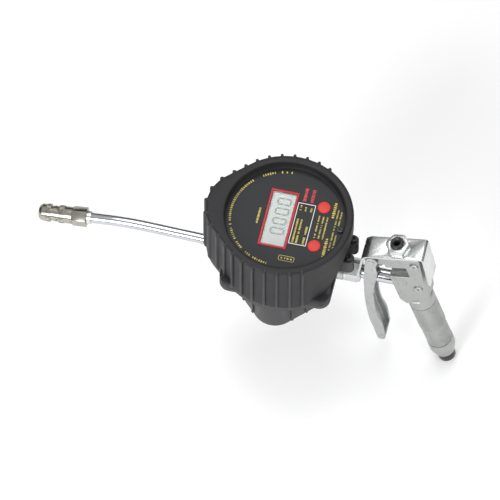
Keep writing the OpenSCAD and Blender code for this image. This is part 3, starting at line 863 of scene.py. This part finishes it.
def shell_fins():
    """Short stiffening fins on the lower shell's sides."""
    height, stand, half = FLANGE_LOW - 4, 1.6, 1.1
    outline = rounded_line([(-2, -half), (stand, -half, 0.6), (stand, half, 0.6), (-2, half)])
    points = [(x, y, z) for z in (3, 3 + height) for x, y in outline]
    rings = [list(range(len(outline))), list(range(len(outline), 2 * len(outline)))]
    fin = facing_out(new_piece("fin", points, faces_between(rings) + rings))
    edged(fin, 0.4, 2)
    piece = new_piece("shell_fins", [(0, 0, 0)], [])
    FINS.grown_on(piece, side=DIAMOND_HALF * MM, spacing=15 * MM, per_side=4,
                  end=(SHELL_END - 2) * MM, fin=fin, finish=SHELL_BLACK)
    bpy.data.objects.remove(fin)
    return fitted(piece, "gun", SHELL_BLACK, "shell_black")


# ---- printed face -----------------------------------------------------------

def row_of_marks(x, start_y, end_y, pitch):
    """Points of a line of print that reads towards +Y."""
    count = int(ceil((end_y - start_y) / pitch))
    return [(x, start_y + pitch * k, pi / 2) for k in range(count)]


def ring_of_marks(x, y, radius, start, end, pitch):
    """Points of a line of print on an arc round a point."""
    count = int((end - start) * radius / pitch)
    turns = [start + (end - start) * k / count for k in range(count)]
    return [(x + radius * cos(turn), y + radius * sin(turn), turn + pi / 2) for turn in turns]


def print_on_face(name, marks, colour, width, height, gap, seed):
    piece = new_piece(name, [(x, y, FACE_Z + 0.04) for x, y, heading in marks], [])
    layer = piece.data.attributes.new("heading", "FLOAT", "POINT")
    layer.data.foreach_set("value", [heading for x, y, heading in marks])
    MARKS.grown_on(piece, width=width * MM, height=height * MM, film=0.1 * MM, gap_share=gap, seed=seed,
                   finish=colour)
    return fitted(piece, "gun", colour, "face_black")


def printed_frame(name, x0, x1, y0, y1, line, colour, corner=0.6):
    """A printed outline with round corners."""
    def loop(inset):
        r = max(corner - inset, 0.1)
        return rounded_line([(x0 + inset, y0 + inset, r), (x1 - inset, y0 + inset, r),
                             (x1 - inset, y1 - inset, r), (x0 + inset, y1 - inset, r)])
    rings, points = [], []
    for inset, z in ((0, 0), (0, 0.1), (line, 0.1), (line, 0)):
        ring = [(p.x, p.y, FACE_Z - 0.01 + z) for p in loop(inset)]
        rings.append(list(range(len(points), len(points) + len(ring))))
        points += ring
    piece = facing_out(new_piece(name, points, faces_between(rings + rings[:1])))
    return fitted(piece, "gun", colour, "face_black")


def face_print():
    ring = ring_of_marks(-1.5, 0.8, 47.5, radians(94), radians(266), 2.1)
    short = row_of_marks(-24, -8, 8, 1.15)
    table = [mark for x in (10.8, 14.2, 20.2) for mark in row_of_marks(x, -20.4, 4 if x < 20 else -2, 1.25)]
    table += [mark for x in (10.8, 15.2, 20.2) for mark in row_of_marks(x, 13.2, 18.6, 1.5)]
    keys = row_of_marks(40.2, 12, 27, 2.0) + row_of_marks(40.2, -31, -9, 2.0)
    notes = [mark for x in (28.6, 32.4, 36) for mark in row_of_marks(x, -11.5, 11.5, 1.1)]
    foot = row_of_marks(43.9, -21, 21, 1.2) + row_of_marks(47, -19, 19, 1.2)
    foot = [mark for mark in foot if abs(mark[1]) > 4.5 or mark[0] < 45]
    print_on_face("print_ring", ring, INK_YELLOW, 1.3, 2.3, 0.2, 4)
    print_on_face("print_table", table + short, INK_YELLOW, 0.95, 1.9, 0.1, 11)
    print_on_face("print_key_names", keys, INK_YELLOW, 1.6, 2.6, 0.04, 5)
    print_on_face("print_notes", notes + foot, INK_YELLOW, 0.85, 1.5, 0.14, 9)
    red = row_of_marks(12.2, 23, 36, 1.5) + row_of_marks(18.8, 23, 36.5, 1.5)
    print_on_face("print_red", red, INK_RED, 1.3, 3.2, 0.05, 3)
    printed_frame("print_table_frame", 7.5, 23.3, -22.2, 20.3, 0.55, INK_WHITE, 0.3)
    printed_frame("print_icon_frame", 2.4, 16.6, -40.6, -35.4, 0.35, INK_YELLOW, 1.4)
    icon = [(x, -38, 0) for x in (5.2, 8.2, 10.8, 13.8)]
    print_on_face("print_icon", icon, INK_YELLOW, 1.8, 1.4, 0, 2)


# Ends of the seven bars of a digit, in half widths across and half heights up
DIGIT_BARS = {"top": ((-1, 2), (1, 2)), "bottom": ((-1, -2), (1, -2)),
              "upper_left": ((-1, 0), (-1, 2)), "upper_right": ((1, 0), (1, 2)),
              "lower_left": ((-1, -2), (-1, 0)), "lower_right": ((1, -2), (1, 0))}


def display_zeros():
    """0.000 on the display, read towards +Y with its top towards the outlet."""
    z = high_mm("lcd_panel").z
    half_w, quarter_h, thick = 2.9, 2.85, 0.75
    points, faces = [], []

    def bar(start, end):
        """A flat bar with pointed ends."""
        run = (end - start).normalized()
        side = Vector((-run.y, run.x)) * thick
        start, end = start + run * 0.25, end - run * 0.25
        outline = [start, start + run * thick + side, end - run * thick + side, end,
                   end - run * thick - side, start + run * thick - side]
        base = len(points)
        points.extend((p.x, p.y, z - 0.02 + h) for h in (0, 0.14) for p in outline)
        rings = [list(range(base, base + 6)), list(range(base + 6, base + 12))]
        faces.extend(faces_between(rings) + rings)

    for middle in (-11.3, -1.2, 8.9, 19.0):
        for (across0, up0), (across1, up1) in DIGIT_BARS.values():
            bar(Vector((-5 - up0 * quarter_h, middle + across0 * half_w)),
                Vector((-5 - up1 * quarter_h, middle + across1 * half_w)))
    bar(Vector((0.1, -6.3)), Vector((1.9, -6.3)))
    piece = facing_out(new_piece("display_digits", points, faces))
    return fitted(piece, "gun", SEGMENT_GREY, "lcd_grey")


def key(name, node, body):
    """A push key with a crowned top, its flange under the face and its post."""
    low, high = low_mm(node), high_mm(node)
    middle = (low + high) / 2
    flange_r = (high.x - low.x) / 2
    crown_r = flange_r - 1.4
    top, base = high.z, FACE_Z - 3.4
    profile = [(0, top), (crown_r * 0.55, top - 0.06), (crown_r * 0.86, top - 0.3, 1.0),
               (crown_r, top - 0.85, 0.4),
               (crown_r, base + 1.2, 0.2), (flange_r, base + 1.2, 0.2), (flange_r, base, 0.2), (1.5, base),
               (1.5, low.z, 0.3), (0, low.z)]
    piece = turned(name, profile, Matrix.Translation((middle.x, middle.y, 0)))
    return fitted(piece, body, KEY_RED, "button_red", node, angle=40)


# ---- tubes and coupler -------------------------------------------------------

def outlet_path():
    """The outlet tube's middle line: straight and rising, bent, then straight into the coupler."""
    rise, radius, tail, start_x, bend_x = radians(2), 200, 21, -50, -125
    drop = atan2(-coupler_axis.z, -coupler_axis.x)
    bend_z = FLOW_Z + (start_x - bend_x) * sin(rise) / cos(rise)
    centre = Vector((bend_x - radius * sin(rise), 0, bend_z - radius * cos(rise)))
    path = [Vector((start_x + (bend_x - start_x) * t / 4, 0, FLOW_Z + (bend_z - FLOW_Z) * t / 4))
            for t in range(4)]
    for k in range(17):
        lean = rise - (rise + drop) * k / 16
        path.append(centre + radius * Vector((sin(lean), 0, cos(lean))))
    return path + [coupler_origin - coupler_axis * tail * 0.5, coupler_origin]


def outlet_line():
    radius = (high_mm("outlet_tube").y - low_mm("outlet_tube").y) / 2
    piece = swept("outlet_line", outlet_path(), radius, 3)
    fitted(piece, "gun", CHROME, "tube_chrome", "outlet_tube")
    ring = turned("coupler_ferrule", [(radius, -7.2), (radius + 1.1, -7.0, 0.4), (radius + 1.5, -3.1, 0.3),
                                      (radius, -3.0)], COUPLER, closed=True)
    return fitted(ring, "gun", ZINC, "fitting_zinc")


def flow_line():
    low, high = low_mm("flow_tube"), high_mm("flow_tube")
    radius = (high.y - low.y) / 2
    profile = [(4, low.x), (radius, low.x, 0.3), (radius, high.x, 0.3), (4, high.x)]
    piece = turned("flow_line", profile, FLOW, closed=True)
    return fitted(piece, "gun", CHROME, "tube_chrome", "flow_tube")


def knurled(name, place, body, material, slot, radius, low, high, pitch, tooth, depth):
    """A knurled band between two heights on a place's Z. Its teeth are a little further apart round it."""
    around = round(2 * pi * radius / (pitch * KNURL_SPREAD))
    rows = int((high - low) / pitch) + 1
    piece = new_piece(name, [(0, 0, 0)], [])
    KNURLS.grown_on(piece, radius=radius * MM, start=low * MM, pitch=pitch * MM, size=tooth * MM,
                    depth=depth * MM, around=around, rows=rows, finish=material)
    piece.data.transform(Matrix.Translation(place.translation * MM) @ place.to_3x3().to_4x4())
    return fitted(piece, body, material, slot, angle=20)


def coupler():
    softened("coupler_hex", 0.3, "gun", NICKEL, angle=20)
    softened("coupler_sleeve", 0.15, "sleeve", NICKEL, angle=20)
    softened("coupler_jaws", 0.2, "gun", NICKEL)
    for name, low, high in (("knurl_rear", 18.0, 22.4), ("knurl_front", 30.6, 34.4)):
        knurled(name, COUPLER, "sleeve", NICKEL, "nickel", 7.6, low, high, 0.8, 0.5, 0.42)


# ---- pistol ------------------------------------------------------------------

def plug():
    """The hollow black plug in the bracket nut."""
    length = 20.9
    middle = (low_mm("nut_plug") + high_mm("nut_plug")) / 2
    top = (PISTOL.inverted() @ middle).z + length / 2
    profile = [(0, top - length), (6, top - length, 0.3), (6, top - 2.5), (6.4, top - 2.3, 0.3),
               (6.0, top - 0.5, 0.5),
               (5.2, top, 0.4), (4.2, top, 0.3), (2.9, top - 1.2, 0.5), (2.9, top - 8.8), (0, top - 8.9)]
    piece = turned("plug_moulding", profile, PISTOL)
    return fitted(piece, "gun", PLUG_BLACK, "plug_black", "nut_plug", angle=45)


def pistol():
    plug()
    softened("support_bracket", 0.45, "gun", ZINC)
    softened("bracket_nut", 0.35, "gun", ZINC)
    softened("inlet_fitting", 0.4, "gun", ZINC)
    softened("outlet_gland", 0.5, "gun", ZINC)
    cast_copy("valve_body", 0.5, 5, "gun", CAST_BODY)
    cast_copy("trigger_lever", 0.5, 5, "lever", CAST_LEVER)
    softened("grip_barrel", 0.45, "gun", CAST_HANDLE)
    softened("grip_collar", 0.35, "gun", CAST_HANDLE)
    for name, radius, low, high in (("grip_knurl_upper", 12.0, -65.0, -32.0),
                                    ("grip_knurl_lower", 11.3, -91.0, -69.4)):
        knurled(name, PISTOL, "gun", CAST_HANDLE, "cast_grey", radius, low, high, 1.1, 0.62, 0.34)
    softened("inlet_swivel", 0.4, "swivel", SWIVEL_BLACK)
    softened("body_screws", 0.2, "gun", STEEL)
    softened("lever_pin", 0.3, "lever", STEEL)
    softened("actuator_pin", 0.25, "lever", STEEL)


def valve_coils():
    """The valve spring, a copy of its CAD node with a mesh of its own."""
    piece = copy_of("valve_spring", "valve_coils")
    fitted(piece, "gun", STEEL, slot_of("valve_spring"), "valve_spring")
    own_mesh(piece)


# ---- carried-over nodes --------------------------------------------------------

KEPT = {
    "display_housing": SHELL_BLACK, "meter_body": METER_METAL, "chamber_cover": METER_METAL,
    "cover_screws": SCREW_BLACK, "oval_gear_a": GEAR_METAL, "oval_gear_b": GEAR_METAL, "gear_pins": STEEL,
    "face_plate": FACE_FILM, "lcd_window": WINDOW, "lcd_panel": LCD_FILM, "circuit_board": BOARD,
    "battery_cells": BATTERY, "key_switches": PLUG_BLACK, "inlet_washer": WASHER,
    "coupler_seal": SEAL_BLACK, "valve_stem": STEEL, "swivel_seal": SEAL_BLACK,
}


def kept_nodes():
    """Gives the CAD nodes that stay as they are their finishes."""
    for name, material in KEPT.items():
        node = NODES[name]
        node.data.materials.clear()
        node.data.materials.append(material)


# ---- studio --------------------------------------------------------------------

def studio():
    """A pale floor just under the gun, and three soft round lamps."""
    floor_gap, half = 2, 2500
    floor_z = cad_box[0].z / MM - floor_gap
    corners = [(x * half, y * half, floor_z) for x, y in ((-1, -1), (1, -1), (1, 1), (-1, 1))]
    floor = new_piece("floor", corners, [(0, 1, 2, 3)])
    floor.data.materials.append(floor_paint("floor_paint"))
    middle = (cad_box[0] + cad_box[1]) / 2
    lamps = {"key": ((-0.5, -1.5, 0.9), 0.9, 25), "fill": ((1.4, -0.6, 0.9), 0.9, 8),
             "top": ((-0.2, 0.5, 1.7), 1.0, 12)}
    for name, (place, size, power) in lamps.items():
        light = bpy.data.lights.new(name, "AREA")
        light.shape, light.size, light.energy = "DISK", size, power
        lamp = bpy.data.objects.new(name, light)
        lamp.location = middle + Vector(place)
        lamp.rotation_euler = (-Vector(place)).to_track_quat("-Z", "Y").to_euler()
        bpy.context.scene.collection.objects.link(lamp)


def surroundings():
    """Soft white light from above with a darker band near the horizon, so that bright metal has form."""
    world = bpy.data.worlds.new("studio")
    world.use_nodes = True
    bpy.context.scene.world = world
    g = Graph(world.node_tree)
    way = g.node("ShaderNodeTexCoord", out="Generated")
    up = g.node("ShaderNodeSeparateXYZ", inputs={0: way}, out="Z")
    ramp = g.node("ShaderNodeValToRGB", {"stops": [
        (0.0, (0.9, 0.9, 0.9)), (0.48, (0.7, 0.7, 0.7)), (0.51, (0.03, 0.03, 0.032)),
        (0.71, (0.06, 0.06, 0.063)),
        (0.78, (0.85, 0.85, 0.86)), (0.88, (0.6, 0.6, 0.61)), (1.0, (1.0, 1.0, 1.0))]}, {0: up * 0.5 + 0.5})
    background = world.node_tree.nodes["Background"]
    world.node_tree.links.new(ramp.socket, background.inputs["Color"])
    background.inputs["Strength"].default_value = 0.75
    bpy.context.scene.view_settings.view_transform = "Standard"


def camera():
    """Looks down on the face from the near side, a little from the right, through a long lens."""
    azimuth, elevation, distance = radians(13), radians(60), 12.22
    target = Vector((-0.0251, -0.0292, 0.0748))
    back = Vector((sin(azimuth) * cos(elevation), -cos(azimuth) * cos(elevation), sin(elevation)))
    data = bpy.data.cameras.new("camera")
    data.lens, data.sensor_width = 1000, 36
    eye = bpy.data.objects.new("camera", data)
    eye.location = target + back * distance
    eye.rotation_euler = (-back).to_track_quat("-Z", "Y").to_euler()
    bpy.context.scene.collection.objects.link(eye)
    bpy.context.scene.camera = eye


camera()
studio()
surroundings()
kept_nodes()
guard()
shell()
shell_fins()
softened("lcd_bezel", 0.2, "gun", BEZEL_RED)
softened("face_screw", 0.2, "gun", SCREW_BLACK)
softened("lug_screws", 0.25, "gun", SCREW_BLACK)
softened("ear_screws", 0.25, "gun", SCREW_BLACK)
face_print()
display_zeros()
key("reset_key_cap", "button_reset", "reset_key")
key("function_key_cap", "button_function", "function_key")
outlet_line()
flow_line()
coupler()
pistol()
valve_coils()

bpy.context.view_layer.update()
